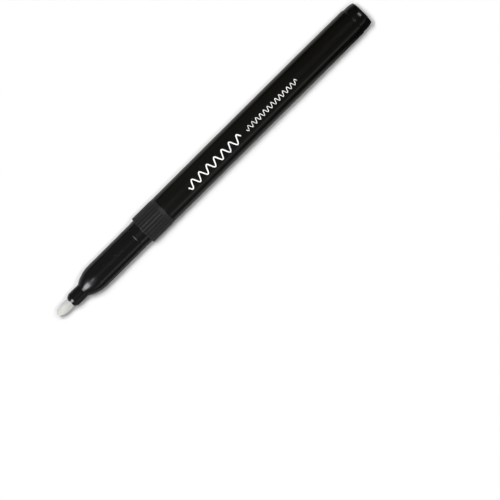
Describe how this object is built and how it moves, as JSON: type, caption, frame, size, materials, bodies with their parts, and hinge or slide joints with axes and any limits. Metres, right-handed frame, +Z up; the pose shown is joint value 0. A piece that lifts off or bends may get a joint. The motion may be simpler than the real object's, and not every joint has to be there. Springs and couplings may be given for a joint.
{
  "type": "uv invisible ink pen",
  "caption": "Slim black felt-tip marker for ultraviolet ink: white bullet nib in a nose tube, domed grip, ribbed collar, long barrel and end plug, with push fits that pull apart.",
  "frame": {"origin": "on the table under the middle of the pen, at the bottom centre of its box", "axes": "+X along the pen from the nib to the rear end, +Y across it, +Z up from the table that it lies on"},
  "size_m": [0.135, 0.01, 0.0101],
  "materials": {
    "nib_fibre": "dense bonded polyester fibre, off-white, ground to a bullet",
    "holder_plastic": "moulded black plastic, satin",
    "section_plastic": "moulded black plastic, satin gloss",
    "collar_plastic": "moulded black plastic, matt, ribbed",
    "barrel_plastic": "moulded black plastic, satin gloss, with a plain white print",
    "plug_plastic": "moulded black plastic, glossy",
    "core_fibre": "lengthwise bonded polyester fibre, white",
    "film_plastic": "thin polypropylene film, milky"
  },
  "bodies": {
    "barrel_body": {"barrel": "barrel_plastic", "reservoir_core": "core_fibre", "reservoir_film": "film_plastic"},
    "writing_unit": {"front_section": "section_plastic", "ribbed_collar": "collar_plastic", "nib_holder": "holder_plastic"},
    "nib_insert": {"nib": "nib_fibre"},
    "rear_plug": {"end_plug": "plug_plastic"}
  },
  "joints": [
    {"name": "section_pull", "type": "slide", "parent": "barrel_body", "child": "writing_unit", "axis": [-1, 0, 0], "range_m": [0, 0.036]},
    {"name": "nib_pull", "type": "slide", "parent": "writing_unit", "child": "nib_insert", "axis": [-1, 0, 0], "range_m": [0, 0.034]},
    {"name": "plug_pull", "type": "slide", "parent": "barrel_body", "child": "rear_plug", "axis": [1, 0, 0], "range_m": [0, 0.013]}
  ]
}
